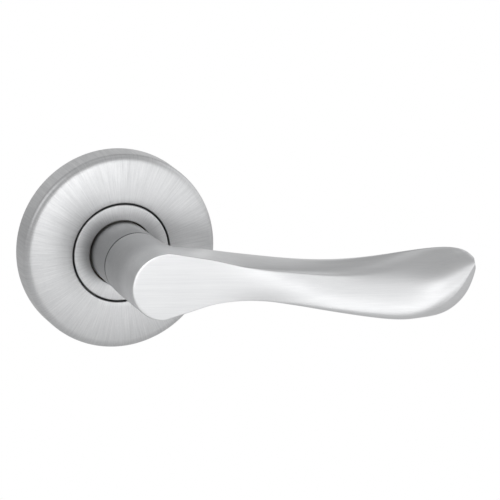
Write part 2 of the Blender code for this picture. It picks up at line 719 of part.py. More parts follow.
def lever():
    made = lever_cage()
    smooth = made.modifiers.new("form", "SUBSURF")
    smooth.levels = smooth.render_levels = LEVER_LEVELS
    finish(made, LEVER_AXIS, STAINLESS)
    shank = [(SHANK_R, JOINT_DEPTH + 2), (SHANK_R, GROOVE[1]), (GROOVE_R, GROOVE[1]), (GROOVE_R, GROOVE[0]),
             (SHANK_R, GROOVE[0]), (SHANK_R, SHANK_END + 0.6), (SHANK_R - 0.6, SHANK_END), (0, SHANK_END)]
    stem = turned("lever_shank", [(0, JOINT_DEPTH + 2)] + shank, LEVER_AXIS, STAINLESS, 48, closed=False)
    boolean(made, stem, "UNION")
    for side in (-1, 1):
        low, high = sorted((side * FLAT, side * 12))
        corners = (-12, low, SHANK_END - 2), (12, high, FLAT_FRONT)
        boolean(made, block(f"shank_flat_{side}", *corners, LEVER_AXIS))
    half = SPINDLE / 2 + GAP
    corners = (-half, -half, SHANK_END - 3), (half, half, SPINDLE_FRONT + 1)
    boolean(made, block("spindle_socket", *corners, LEVER_AXIS))
    ends = (0, -14, GRUB_DEPTH), (0, -3, GRUB_DEPTH)
    boolean(made, rod("grub_hole", GRUB_R + GAP, *ends, LEVER_AXIS, 24))
    return made


def main():
    rose_cover()
    centre_disc()
    base_plate()
    for index, angle in enumerate(CLIP_ANGLES, 1):
        cover_clip(index, angle)
        clip_rivet(index, angle)
    bearing_bush()
    spring_cage()
    cage_screw("cage_screw_upper", 1)
    cage_screw("cage_screw_lower", -1)
    for name, angle in zip(("stop_pin_left", "stop_pin_right"), stop_angles()):
        stop_pin(name, angle)
    return_spring()
    through_bolt("through_bolt_left", -1)
    through_bolt("through_bolt_right", 1)
    lever()
    neck_collar()
    slip_washer()
    drive_cam()
    wave_washer()
    circlip()
    spindle()
    grub_screw()


clear_scene()
PARTS = new_collection("lever_handle")
CUTTERS = new_collection("cutters")
STAINLESS = new_material("satin_stainless", (0.62, 0.62, 0.63), 0.32, 1.0)
ZINC = new_material("zinc_casting", (0.46, 0.47, 0.48), 0.55, 1.0)
STEEL = new_material("plated_steel", (0.55, 0.55, 0.54), 0.35, 1.0)
SPRING_STEEL = new_material("spring_steel", (0.35, 0.36, 0.38), 0.3, 1.0)
BRONZE = new_material("sintered_bronze", (0.45, 0.29, 0.15), 0.45, 1.0)
NYLON = new_material("nylon", (0.75, 0.74, 0.7), 0.5, 0.0)
ROSE = new_axis("rose_axis")
LEVER_AXIS = new_axis("lever_axis")
main()
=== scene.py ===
from math import cos, pi, radians, sin

import bmesh
import bpy
from mathutils import Matrix, Vector


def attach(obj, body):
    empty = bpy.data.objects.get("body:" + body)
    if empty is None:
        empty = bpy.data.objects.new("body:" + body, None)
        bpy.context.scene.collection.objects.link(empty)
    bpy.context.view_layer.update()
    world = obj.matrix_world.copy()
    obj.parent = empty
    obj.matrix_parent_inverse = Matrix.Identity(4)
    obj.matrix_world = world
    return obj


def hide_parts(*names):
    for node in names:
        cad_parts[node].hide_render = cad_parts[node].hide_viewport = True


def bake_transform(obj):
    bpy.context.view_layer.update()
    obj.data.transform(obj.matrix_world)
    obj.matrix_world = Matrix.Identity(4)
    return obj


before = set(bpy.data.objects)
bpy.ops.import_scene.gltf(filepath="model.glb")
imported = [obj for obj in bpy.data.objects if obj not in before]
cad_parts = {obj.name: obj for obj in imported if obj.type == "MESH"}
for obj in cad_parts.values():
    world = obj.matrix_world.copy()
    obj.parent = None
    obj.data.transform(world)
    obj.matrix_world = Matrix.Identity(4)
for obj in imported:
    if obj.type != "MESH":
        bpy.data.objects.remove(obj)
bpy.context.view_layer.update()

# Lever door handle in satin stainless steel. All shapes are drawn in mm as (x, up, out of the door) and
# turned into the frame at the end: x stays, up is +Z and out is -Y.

MM = 0.001
GAP = 0.3  # between pieces that don't touch

# Rose cover and centre disc
ROSE_R = 32.5
ROSE_WALL_H = 7.6
ROSE_DEPTH = 10.4
SHEET = 1.2
OPENING_R = 16.5
FACE_R = 29.7  # where the face starts to roll over to the wall
DOME = 0.5  # how far the face falls from DOME_START out to FACE_R
DOME_POWER = 2.6
DOME_START = 18.5
DISC_R = 15.98
DISC_THICK = 2.0
DISC_HOLE_R = 10.8

# Neck, shank and spindle
COLLAR_R = 10.35
COLLAR_BACK = 9.0
SHANK_R = 8.0
BORE_R = SHANK_R + GAP
JOINT_DEPTH = 25.4  # the joint line between the collar and the lever
COLLAR_FRONT = JOINT_DEPTH - GAP
FRONT_DEPTH = 54.0
SHANK_END = -15.5
GROOVE = (-14.1, -12.5)  # for the circlip
GROOVE_R = 7.2
FLAT = 6.7  # the shank's two flats, from the axis
FLAT_FRONT = -0.6
SPINDLE = 8.0
SPINDLE_FRONT = 37.0
SPINDLE_BACK = -58.0
GRUB_DEPTH = 32.0
GRUB_R = 2.5

# Base plate and its fixings
PLATE_R = 30.7
PLATE_THICK = 2.5
PLATE_SEAT_R = 27.4
PLATE_DISH = 0.5
BOSS_R = 13.8
BOSS_BORE_R = 10.5
BOSS_DEPTH = 6.7
BOLT_SPACING = 38.0
BOLT_R = 2.0
BOLT_HEAD_R = 3.6
BOLT_END = -25.0
BOLT_PITCH = 0.7
CAGE_SCREW_Z = 21.0
CAGE_SCREW_R = 1.5
CAGE_SCREW_HEAD_R = 2.8
CLIP_ANGLES = (90.0, 210.0, 330.0)
CLIP_RIVET_R = 24.5
RIVET_R = 1.2

# Spring cage, cam, stops and spring
CAGE_R = 16.0
CAGE_WALL = 1.1
CAGE_DEPTH = -11.5
CAGE_FLOOR = 1.2
CAGE_FRONT = PLATE_DISH - GAP
EAR_R = 4.0
EAR_THICK = 1.2
CAM_HUB_R = 10.9
CAM_LUG_R = 14.4
CAM_LUG_DEPTH = (-10.0, -8.1)
LUG_HALF_ANGLE = 14.0  # degrees, as is the turn limit
TURN_LIMIT = 45.0
STOP_PIN_R = 1.2
STOP_PIN_AT_R = 13.2
STOP_PLAY = 2.4  # degrees, for the slope of the lug's flanks
SPRING_MEAN_R = 12.3
SPRING_WIRE = 1.6
SPRING_TURNS = 3
SPRING_FRONT = -1.4
SPRING_PITCH = 1.7
LEG_X = -1.0  # where the spring's back leg enters the cam's lug

ROUND = 160  # facets round a turned piece
LEVER_LEVELS = 4

STAND = Matrix.Rotation(radians(90), 4, "X")  # (x, up, out) to the frame


# ---------------------------------------------------------------- material nodes

def node(tree, kind, inputs=(), **settings):
    """A new node of that kind, with its settings, and its inputs set or linked."""
    made = tree.nodes.new("ShaderNode" + kind)
    for key, value in settings.items():
        setattr(made, key, value)
    for key, value in dict(inputs).items():
        if isinstance(value, bpy.types.NodeSocket):
            tree.links.new(value, made.inputs[key])
        else:
            made.inputs[key].default_value = value
    return made


def maths(tree, operation, a, b=0.5):
    return node(tree, "Math", {0: a, 1: b}, operation=operation).outputs[0]


def noise(tree, vector, scale, detail=3.0, roughness=0.55):
    inputs = {"Vector": vector, "Scale": scale, "Detail": detail, "Roughness": roughness}
    return node(tree, "TexNoise", inputs, noise_dimensions="3D").outputs["Fac"]


def spread(tree, value, low, high):
    """A noise, most of which lies between 0.25 and 0.75, taken to between low and high."""
    inputs = {"Value": value, "From Min": 0.25, "From Max": 0.75, "To Min": low, "To Max": high}
    return node(tree, "MapRange", inputs).outputs["Result"]


def blended(tree, a, share_a, b, share_b):
    """Two values added, each with its own share."""
    return maths(tree, "ADD", maths(tree, "MULTIPLY", a, share_a), maths(tree, "MULTIPLY", b, share_b))


def tint(tree, value, dark, light):
    """A colour between two greys or tints, by a 0 to 1 value."""
    mix = node(tree, "Mix", {"Factor": value}, data_type="RGBA")
    mix.inputs["A"].default_value = (*dark, 1)
    mix.inputs["B"].default_value = (*light, 1)
    return mix.outputs["Result"]


def stretched(tree, coords, scale):
    return node(tree, "Mapping", {"Vector": coords, "Scale": scale}).outputs["Vector"]


def around_axis(tree, coords):
    """The unit direction from the spindle's axis, the radius and the depth of a point."""
    flat = node(tree, "VectorMath", {0: coords, 1: (1, 0, 1)}, operation="MULTIPLY").outputs["Vector"]
    direction = node(tree, "VectorMath", {0: flat}, operation="NORMALIZE").outputs["Vector"]
    radius = node(tree, "VectorMath", {0: flat}, operation="LENGTH").outputs["Value"]
    depth = node(tree, "SeparateXYZ", {"Vector": coords}).outputs["Y"]
    return direction, radius, depth


def lines_from_axis(tree, coords, along):
    """Coordinates whose noise runs in lines out from the axis, and down the wall."""
    direction, radius, depth = around_axis(tree, coords)
    run = maths(tree, "MULTIPLY", maths(tree, "ADD", radius, depth), along)
    lift = node(tree, "CombineXYZ", {"Y": run}).outputs["Vector"]
    return node(tree, "VectorMath", {0: direction, 1: lift}, operation="ADD").outputs["Vector"]


def lines_round_axis(tree, coords, across):
    """Coordinates whose noise runs in lines round the axis."""
    direction, radius, depth = around_axis(tree, coords)
    slow = scaled(tree, direction, 0.02)
    run = maths(tree, "MULTIPLY", maths(tree, "ADD", radius, depth), across)
    lift = node(tree, "CombineXYZ", {"Y": run}).outputs["Vector"]
    return node(tree, "VectorMath", {0: slow, 1: lift}, operation="ADD").outputs["Vector"]


def metal(name, metallic=1.0):
    """A shader whose colour, roughness and relief are driven later, with its tree and coordinates."""
    made = bpy.data.materials.new(name)
    made.use_nodes = True
    tree = made.node_tree
    shader = tree.nodes["Principled BSDF"]
    shader.inputs["Metallic"].default_value = metallic
    coords = node(tree, "TexCoord").outputs["Object"]
    return made, tree, shader, coords


def drive(tree, shader, colour, rough, relief, height):
    """Link the colour, the roughness and a fine relief of that height in mm."""
    tree.links.new(colour, shader.inputs["Base Color"])
    tree.links.new(rough, shader.inputs["Roughness"])
    bump = node(tree, "Bump", {"Height": relief, "Strength": 1.0, "Distance": height * MM})
    tree.links.new(bump.outputs["Normal"], shader.inputs["Normal"])


def edge_wear(tree, radius, most):
    """0 on a flat face, rising towards most at sharp edges, within a radius in mm."""
    soft = node(tree, "Bevel", {"Radius": radius * MM}, samples=4).outputs["Normal"]
    true = node(tree, "NewGeometry").outputs["Normal"]
    flat = node(tree, "VectorMath", {0: soft, 1: true}, operation="DOT_PRODUCT").outputs["Value"]
    return spread(tree, maths(tree, "ADD", maths(tree, "MULTIPLY", flat, -0.5), 0.75), 0, most)


SATIN_DARK = (0.60, 0.605, 0.615)
SATIN_BRIGHT = (0.70, 0.705, 0.71)
JOINT_DIRT = 0.15  # the share of light that dirt in the joint leaves


def satin(name, lines, rough, grain=1.0, light=1.0, shade=None, contrast=0.0):
    """Brushed stainless: fine lines, a few longer scratches, and a soft unevenness under them.

    lines gives the fine and the coarse brushing, light makes a painted lighter or darker copy of the steel,
    shade paints shade, or a joint's dirt, on a part of the piece, and contrast is how far the lines
    themselves differ in tone.
    """
    made, tree, shader, coords = metal(name)
    dark, bright = [tuple(v * light for v in tone) for tone in (SATIN_DARK, SATIN_BRIGHT)]
    fine, coarse = lines(tree, coords)
    hair = noise(tree, fine, 1.0, 4.0, 0.7)
    band = noise(tree, coarse, 1.0, 2.0, 0.5)
    cloud = noise(tree, coords, 90.0, 2.0)
    mixed = maths(tree, "ADD", blended(tree, hair, 0.55, band, 0.3), maths(tree, "MULTIPLY", cloud, 0.15))
    speck = noise(tree, coords, 1600.0, 1.0)
    streak = blended(tree, hair, 0.8, speck, 0.2)
    colour = tint(tree, spread(tree, mixed, 0.0, 1.0), dark, bright)
    colour = scaled(tree, colour, spread(tree, streak, 1.0 - contrast, 1.0 + contrast))
    if shade:
        colour = scaled(tree, colour, shade(tree, coords))
    roughness = spread(tree, mixed, rough + 0.05 * grain, rough - 0.05 * grain)
    drive(tree, shader, colour, roughness, hair, 0.006 * grain)
    return made


def scaled(tree, vector, factor):
    return node(tree, "VectorMath", {0: vector, "Scale": factor}, operation="SCALE").outputs["Vector"]


def ramp(tree, value, start, end, low):
    """From low at start up to 1 at end, eased, both in mm."""
    inputs = {"Value": value, "From Min": start * MM, "From Max": end * MM, "To Min": low, "To Max": 1.0}
    return node(tree, "MapRange", inputs, interpolation_type="SMOOTHSTEP").outputs["Result"]


def sideways(tree, direction):
    """1 to either side of the axis, 0 above and below it."""
    side = node(tree, "SeparateXYZ", {"Vector": direction}).outputs["X"]
    return maths(tree, "MULTIPLY", side, side)


def painted_side_shade(tree, coords, inner, outer, loss):
    """Painted shade: darker at the inner radius by that loss, to either side of the axis, and unshaded at
    the outer one.
    """
    direction, radius, _ = around_axis(tree, coords)
    low = maths(tree, "SUBTRACT", 1.0, maths(tree, "MULTIPLY", sideways(tree, direction), loss))
    return ramp(tree, radius, inner, outer, low)


def painted_face_shade(tree, coords):
    """Painted shade and reflection: the face is darker beside the disc, to either side, where the neck is
    reflected.
    """
    return painted_side_shade(tree, coords, OPENING_R, OPENING_R + 7.0, 0.16)


def painted_disc_shade(tree, coords):
    """Painted shade: the disc is darker close round the neck, most of all at its sides, where the neck
    shades it and is reflected in it.
    """
    return painted_side_shade(tree, coords, DISC_HOLE_R, DISC_HOLE_R + 4.7, 0.42)


def out_of_door(tree, coords):
    """How far a point is from the door. Out is -Y in the frame."""
    return maths(tree, "MULTIPLY", around_axis(tree, coords)[2], -1.0)


def dirty_joint(tree, coords):
    """Dirt on the collar's front edge."""
    return ramp(tree, out_of_door(tree, coords), COLLAR_FRONT, COLLAR_FRONT - 0.45, JOINT_DIRT)


def neck_shade_and_joint_dirt(tree, coords):
    """The neck is painted darker than the paddle, a painted shade towards the rose, and dirt sits in its
    joint.
    """
    depth = out_of_door(tree, coords)
    joint = ramp(tree, depth, JOINT_DEPTH - 0.05, JOINT_DEPTH + 0.5, JOINT_DIRT)
    # the ramp from 38 to 48 mm out is the painted shade on the neck
    return maths(tree, "MULTIPLY", joint, ramp(tree, depth, 38.0, 48.0, 0.75))


def sunburst(tree, coords):
    """Lines out from the axis, as on the rose's face."""
    return (stretched(tree, lines_from_axis(tree, coords, 1.3), (70, 70, 70)),
            stretched(tree, lines_from_axis(tree, coords, 0.9), (16, 16, 16)))


def turned_lines(tree, coords):
    """Lines round the axis, as left by a lathe."""
    return (stretched(tree, lines_round_axis(tree, coords, 1.0), (4000, 4000, 4000)),
            stretched(tree, lines_round_axis(tree, coords, 1.0), (700, 700, 700)))


def lengthwise(tree, coords):
    """Lines along the lever."""
    return stretched(tree, coords, (60, 2600, 2600)), stretched(tree, coords, (12, 420, 420))


def zinc_casting():
    made, tree, shader, coords = metal("zinc_casting")
    grain = noise(tree, coords, 900.0, 4.0, 0.65)
    flow = noise(tree, coords, 60.0, 3.0)
    mixed = blended(tree, grain, 0.5, flow, 0.5)
    value = maths(tree, "ADD", spread(tree, mixed, 0, 1), edge_wear(tree, 0.5, 0.5))
    colour = tint(tree, value, (0.33, 0.34, 0.35), (0.52, 0.53, 0.54))
    drive(tree, shader, colour, spread(tree, mixed, 0.62, 0.46), grain, 0.03)
    return made


def plated_steel():
    made, tree, shader, coords = metal("plated_steel")
    cloud = noise(tree, coords, 140.0, 3.0)
    scratch = noise(tree, stretched(tree, coords, (300, 3200, 900)), 1.0, 3.0, 0.6)
    mixed = blended(tree, cloud, 0.6, scratch, 0.4)
    value = maths(tree, "ADD", spread(tree, mixed, 0, 1), edge_wear(tree, 0.3, 0.4))
    colour = tint(tree, value, (0.50, 0.51, 0.53), (0.66, 0.66, 0.65))
    drive(tree, shader, colour, spread(tree, mixed, 0.38, 0.24), scratch, 0.006)
    return made


def spring_steel():
    made, tree, shader, coords = metal("spring_steel")
    cloud = noise(tree, coords, 220.0, 3.0)
    drawn = noise(tree, coords, 1800.0, 2.0)
    mixed = blended(tree, cloud, 0.6, drawn, 0.4)
    colour = tint(tree, spread(tree, mixed, 0, 1), (0.24, 0.25, 0.28), (0.42, 0.42, 0.43))
    drive(tree, shader, colour, spread(tree, mixed, 0.38, 0.22), drawn, 0.008)
    return made


def sintered_bronze():
    made, tree, shader, coords = metal("sintered_bronze")
    pores = node(tree, "TexVoronoi", {"Vector": coords, "Scale": 2500.0}).outputs["Distance"]
    cloud = noise(tree, coords, 200.0, 3.0)
    colour = tint(tree, spread(tree, cloud, 0, 1), (0.035, 0.028, 0.022), (0.10, 0.075, 0.05))
    drive(tree, shader, colour, spread(tree, cloud, 0.5, 0.36), pores, 0.02)
    return made


def nylon():
    made, tree, shader, coords = metal("nylon", metallic=0.0)
    cloud = noise(tree, coords, 300.0, 3.0)
    grain = noise(tree, coords, 2500.0, 2.0)
    colour = tint(tree, spread(tree, cloud, 0, 1), (0.68, 0.67, 0.62), (0.78, 0.77, 0.73))
    drive(tree, shader, colour, spread(tree, cloud, 0.52, 0.42), grain, 0.01)
    return made


# ---------------------------------------------------------------- shapes

def object_from(name, bm):
    mesh = bpy.data.meshes.new(name)
    bm.to_mesh(mesh)
    bm.free()
    made = bpy.data.objects.new(name, mesh)
    bpy.context.scene.collection.objects.link(made)
    return made


def turned(name, profile, steps=ROUND, closed=True):
    """A solid turned about the axis. The profile, (radius, out) in mm, runs down its outer side."""
    bm = bmesh.new()
    corners = [bm.verts.new((r * MM, 0, out * MM)) for r, out in profile]
    for a, b in zip(corners, corners[1:]):
        bm.edges.new((a, b))
    if closed:
        bm.edges.new((corners[-1], corners[0]))
    made = object_from(name, bm)
    screw = made.modifiers.new("turn", "SCREW")
    screw.axis = "Z"
    screw.steps = screw.render_steps = steps
    screw.use_merge_vertices = True
    screw.merge_threshold = 0.00001
    return made


def skin(bm, rings):
    """Quads between each ring of points and the next."""
    around = len(rings[0])
    for a, b in zip(rings, rings[1:]):
        for k in range(around):
            n = (k + 1) % around
            bm.faces.new((a[k], b[k], b[n], a[n]))


def arc(centre, radius, start, end, count=6):
    """Points of an arc, angles in degrees, both ends included."""
    turns = [radians(start + (end - start) * i / count) for i in range(count + 1)]
    return [(centre[0] + radius * cos(a), centre[1] + radius * sin(a)) for a in turns]


def soft_corner(profile, radius):
    """The profile with each corner rounded by that radius, where both its sides have room."""
    points = [Vector(p) for p in profile]
    rounded = []
    for i, corner in enumerate(points):
        before_it, after_it = points[i - 1], points[(i + 1) % len(points)]
        a, b = before_it - corner, after_it - corner
        room = min(a.length, b.length) / 2.2
        angle = a.angle(b)
        if room < radius * 0.5 or angle > radians(150) or corner.x < 0.01:
            rounded.append(tuple(corner))
            continue
        reach = min(radius, room)
        start, end = corner + a.normalized() * reach, corner + b.normalized() * reach
        for k in range(4):
            t = k / 3
            rounded.append(tuple(start.lerp(corner, t).lerp(corner.lerp(end, t), t)))
    return rounded


def flat_outline(name, outline, front, back):
    """A flat outline in (x, up), mm, filled and extruded between two depths."""
    curve = bpy.data.curves.new(name, "CURVE")
    curve.dimensions = "2D"
    curve.fill_mode = "BOTH"
    curve.extrude = (front - back) / 2 * MM
    spline = curve.splines.new("POLY")
    spline.points.add(len(outline) - 1)
    for point, (x, up) in zip(spline.points, outline):
        point.co = (x * MM, up * MM, 0, 1)
    spline.use_cyclic_u = True
    guide = bpy.data.objects.new(name, curve)
    guide.location.z = (front + back) / 2 * MM
    return meshed(guide)


def meshed(guide):
    """A curve object turned into a closed mesh object."""
    bpy.context.scene.collection.objects.link(guide)
    bpy.context.view_layer.update()
    mesh = bpy.data.meshes.new_from_object(guide.evaluated_get(bpy.context.evaluated_depsgraph_get()))
    mesh.transform(guide.matrix_world)
    bm = bmesh.new()
    bm.from_mesh(mesh)
    bmesh.ops.remove_doubles(bm, verts=bm.verts, dist=0.000001)
    bmesh.ops.recalc_face_normals(bm, faces=bm.faces)
    name = guide.name
    bpy.data.objects.remove(guide, do_unlink=True)
    return object_from(name, bm)


def rod(radius, start, end, steps=64):
    """A cylinder between two points in mm."""
    start, end = Vector(start) * MM, Vector(end) * MM
    along = end - start
    bm = bmesh.new()
    bmesh.ops.create_cone(
        bm, cap_ends=True, segments=steps, radius1=radius * MM, radius2=radius * MM, depth=along.length
    )
    turn = Vector((0, 0, 1)).rotation_difference(along).to_matrix().to_4x4()
    bm.transform(Matrix.Translation((start + end) / 2) @ turn)
    return object_from("tool", bm)


def block(low, high):
    """A box between two corners in mm."""
    low, high = Vector(low) * MM, Vector(high) * MM
    bm = bmesh.new()
    bmesh.ops.create_cube(bm, size=1)
    bm.transform(Matrix.Translation((low + high) / 2) @ Matrix.Diagonal((*(high - low), 1)))
    return object_from("tool", bm)


def boolean(target, tool, operation="DIFFERENCE"):
    """Cut a tool from a shape, or join it on. The tool is removed when the shape is put."""
    cut = target.modifiers.new("cut", "BOOLEAN")
    cut.operation = operation
    cut.object = tool
    cut.solver = "EXACT"
    TOOLS.append(tool)


def bevel(made, width, segments=2):
    """Round the edges of a mesh as it stands, by a width in mm."""
    edge = made.modifiers.new("edges", "BEVEL")
    edge.width = width * MM
    edge.segments = segments
    edge.limit_method = "ANGLE"
    edge.angle_limit = radians(40)
    edge.harden_normals = False
    edge.use_clamp_overlap = True


def put(name, made, body, nodes, material, place=(0, 0, 0), sharp=32, local=None):
    """The final mesh of a shape, stood up in the frame, on its body, with its material.

    place moves it, in mm, local turns it first, and sharp is the angle from which an edge is shown sharp.
    """
    bpy.context.view_layer.update()
    mesh = bpy.data.meshes.new_from_object(made.evaluated_get(bpy.context.evaluated_depsgraph_get()))
    if local is not None:
        mesh.transform(local)
    mesh.transform(STAND @ Matrix.Translation(Vector(place) * MM))
    mesh.name = name
    mesh.materials.clear()
    mesh.materials.append(material)
    mesh.shade_smooth()
    mesh.set_sharp_from_angle(angle=radians(sharp))
    final = bpy.data.objects.new(name, mesh)
    bpy.context.scene.collection.objects.link(final)
    TOOLS.append(made)
    for tool in TOOLS:
        bpy.data.objects.remove(tool, do_unlink=True)
    TOOLS.clear()
    if body is not None:
        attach(final, body)
    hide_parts(*nodes)
    return final


def at_angle(radius, degrees):
    """The point (x, up) at that radius and angle from the axis."""
    return radius * cos(radians(degrees)), radius * sin(radians(degrees))


def cross_slot(made, long, half_width, low, high):
    """Cut the cross of a screw's drive between two depths."""
    for wide, tall in ((long, half_width), (half_width, long)):
        boolean(made, block((-wide, -tall, low), (wide, tall, high)))


# ---------------------------------------------------------------- rose

def rose_cover():
    """The face domes towards its edge, then rolls over into the wall, which leans in by its draft."""
    draft, foot, lip_r = 0.2, 0.2, 0.3
    roll_steps, face_steps = 16, 12
    wall_top = Vector((ROSE_R - draft, ROSE_WALL_H))
    face_edge = Vector((FACE_R, ROSE_DEPTH - DOME))
    slope = DOME * DOME_POWER / (FACE_R - DOME_START)
    reach = 0.56 * (wall_top.x - face_edge.x)
    pulls = wall_top + Vector((0, 1.5)), face_edge + Vector((reach, -reach * slope))
    roll = []
    for step in range(roll_steps + 1):
        t = step / roll_steps
        low, high = wall_top.lerp(pulls[0], t), pulls[1].lerp(face_edge, t)
        middle = pulls[0].lerp(pulls[1], t)
        roll.append(tuple(low.lerp(middle, t).lerp(middle.lerp(high, t), t)))
    face = []
    for step in range(1, face_steps + 1):
        share = 1 - step / face_steps
        face.append((DOME_START + (FACE_R - DOME_START) * share, ROSE_DEPTH - DOME * share ** DOME_POWER))
    lip = [(OPENING_R + lip_r + 0.01, ROSE_DEPTH)]
    lip += arc((OPENING_R + lip_r, ROSE_DEPTH - lip_r), lip_r, 90, 180, 5)[1:]
    inside = [
        (OPENING_R, ROSE_DEPTH - SHEET), (FACE_R - 2.0, ROSE_DEPTH - SHEET - DOME * 0.6),
        (ROSE_R - draft - SHEET, ROSE_WALL_H - 0.6), (ROSE_R - SHEET, 0), (ROSE_R - foot, 0),
    ]
    profile = list(reversed([(ROSE_R, foot)] + roll + face + lip + inside))
    made = turned("shape", profile, 256)
    return put("rose_cover_fine", made, "rose", ["rose_cover"], SATIN_FACE)


def centre_disc():
    """The disc has a skirt behind it that grips the plate's boss."""
    front, back, skirt_back = ROSE_DEPTH, ROSE_DEPTH - DISC_THICK, 4.0
    skirt_outer, skirt_inner = BOSS_R + 1.1, BOSS_R + GAP
    hole_edge, rim_edge = 0.3, 0.4
    profile = arc((DISC_HOLE_R + hole_edge, front - hole_edge), hole_edge, 180, 90, 4)
    profile += arc((DISC_R - rim_edge, front - rim_edge), rim_edge, 90, 0, 8)
    profile += [
        (DISC_R, back), (skirt_outer, back), (skirt_outer, skirt_back), (skirt_inner, skirt_back),
        (skirt_inner, back), (DISC_HOLE_R, back),
    ]
    made = turned("shape", profile, 192)
    return put("centre_disc_fine", made, "rose", ["centre_disc"], SATIN_DISC)


def base_plate():
    """A dished plate with its boss and the holes for the bolts, the cage's screws and the clips' rivets."""
    profile = soft_corner([
        (BOSS_R, BOSS_DEPTH), (BOSS_R, PLATE_THICK), (PLATE_R, PLATE_THICK), (PLATE_R, 0), (PLATE_SEAT_R, 0),
        (PLATE_SEAT_R, PLATE_DISH), (BOSS_BORE_R, PLATE_DISH), (BOSS_BORE_R, BOSS_DEPTH),
    ], 0.4)
    made = turned("shape", profile, 192)
    for side in (-1, 1):
        bolt_x = side * BOLT_SPACING / 2
        boolean(made, rod(BOLT_R + GAP, (bolt_x, 0, -2), (bolt_x, 0, 5)))
        boolean(made, rod(CAGE_SCREW_R + GAP, (0, side * CAGE_SCREW_Z, -2), (0, side * CAGE_SCREW_Z, 5)))
    for angle in CLIP_ANGLES:
        x, up = at_angle(CLIP_RIVET_R, angle)
        boolean(made, rod(RIVET_R + GAP, (x, up, -2), (x, up, 5)))
    return put("base_plate_fine", made, "rose", ["base_plate"], ZINC)


def spring_cage():
    """A drawn cup with two screw ears, a slot for the spring's front leg and holes for the stop pins."""
    inner = CAGE_R - CAGE_WALL
    bottom = CAGE_DEPTH + CAGE_FLOOR
    corner = 1.2
    profile = [(CAGE_R, CAGE_FRONT)]
    profile += arc((CAGE_R - corner, CAGE_DEPTH + corner), corner, 0, -90, 8)
    profile += [
        (BORE_R + GAP, CAGE_DEPTH), (BORE_R + GAP, bottom), (inner, bottom), (inner, CAGE_FRONT),
    ]
    made = turned("shape", profile, 192)
    for side in (1, -1):
        ear = [(-EAR_R, side * (inner + 0.4)), (EAR_R, side * (inner + 0.4))]
        for a in range(0, 181, 10):
            x, up = at_angle(EAR_R, a)
            ear.append((x, side * (CAGE_SCREW_Z + up)))
        boolean(made, flat_outline("ear", ear, CAGE_FRONT, CAGE_FRONT - EAR_THICK), "UNION")
        boolean(made, rod(CAGE_SCREW_R + GAP, (0, side * CAGE_SCREW_Z, -5), (0, side * CAGE_SCREW_Z, 2)))
    slot = 1.3  # its half width
    boolean(made, block((inner - 2, -slot, SPRING_FRONT - slot), (CAGE_R + 2, slot, CAGE_FRONT + 1)))
    for angle in stop_angles():
        x, up = at_angle(STOP_PIN_AT_R, angle)
        boolean(made, rod(STOP_PIN_R + GAP, (x, up, CAGE_DEPTH - 2), (x, up, bottom + 1)))
    return put("spring_cage_fine", made, "rose", ["spring_cage"], PLATED)


def cage_screw(name, side):
    """A pan head screw put in from behind, with a cross drive."""
    head, tip, bevel_in, head_edge = CAGE_FRONT - EAR_THICK - GAP, 1.9, 0.2, 0.8
    profile = [
        (0, tip), (CAGE_SCREW_R - bevel_in, tip), (CAGE_SCREW_R, tip - bevel_in), (CAGE_SCREW_R, head),
        (CAGE_SCREW_HEAD_R - 0.1, head),
    ]
    profile += arc((CAGE_SCREW_HEAD_R - head_edge, head - 0.9), head_edge, 0, -90, 8)
    profile += [(0, head - 1.7)]
    made = turned("shape", profile, 64, closed=False)
    cross_slot(made, 1.7, 0.3, head - 3, head - 0.7)
    place = (0, side * CAGE_SCREW_Z, 0)
    return put(name + "_fine", made, "rose", [name], PLATED, place=place)


def stop_angles():
    """Where the stop pins stand, in degrees, so that the cam's lug meets them at the limits."""
    pin_half = STOP_PIN_R / STOP_PIN_AT_R * 180 / pi
    reach = TURN_LIMIT + LUG_HALF_ANGLE + pin_half + STOP_PLAY
    return 90 + reach, 90 - reach


def stop_pin(name, angle):
    """A pin with its riveted head behind the cage's floor."""
    back = CAGE_DEPTH - GAP
    tip = CAM_LUG_DEPTH[1]
    bevel_in, head_edge = 0.2, 0.6
    profile = [(0, tip), (STOP_PIN_R - bevel_in, tip), (STOP_PIN_R, tip - bevel_in), (STOP_PIN_R, back)]
    profile += arc((STOP_PIN_R + 0.1, back), head_edge, 0, -90, 6)
    profile += [(0, back - head_edge)]
    made = turned("shape", profile, 48, closed=False)
    x, up = at_angle(STOP_PIN_AT_R, angle)
    return put(name + "_fine", made, "rose", [name], PLATED, place=(x, up, 0))


def drive_cam():
    """A hub on the shank's flats, with the lug that meets the stop pins and takes the spring's back leg."""
    lug_foot, steps = LUG_HALF_ANGLE * 1.4, 90
    rest = 360 - lug_foot * 2
    outline = [at_angle(CAM_HUB_R, 90 + lug_foot + rest * i / steps) for i in range(steps + 1)]
    outline += [at_angle(CAM_LUG_R, 90 + a) for a in (-14, -10, -5, 0, 5, 10, 14)]
    made = flat_outline("shape", outline, CAM_LUG_DEPTH[1], CAM_LUG_DEPTH[0])
    hub_r, hub_inside, hub_front, hub_back = CAM_HUB_R - 0.2, 4, -0.9, CAM_LUG_DEPTH[1] - 0.5
    hub = [(hub_r, hub_front), (hub_r, hub_back), (hub_inside, hub_back), (hub_inside, hub_front)]
    boolean(made, turned("hub", hub, 128), "UNION")
    hole = rod(BORE_R, (0, 0, -14), (0, 0, 2), 128)
    for side in (-1, 1):
        low, high = sorted((side * (FLAT + GAP), side * 12))
        boolean(hole, block((-12, low, -16), (12, high, 4)))
    boolean(made, hole)
    boolean(made, rod(SPRING_WIRE / 2 + GAP, (LEG_X, SPRING_MEAN_R, -12), (LEG_X, SPRING_MEAN_R, -7)))
    return put("drive_cam_fine", made, "lever_set", ["drive_cam"], PLATED)


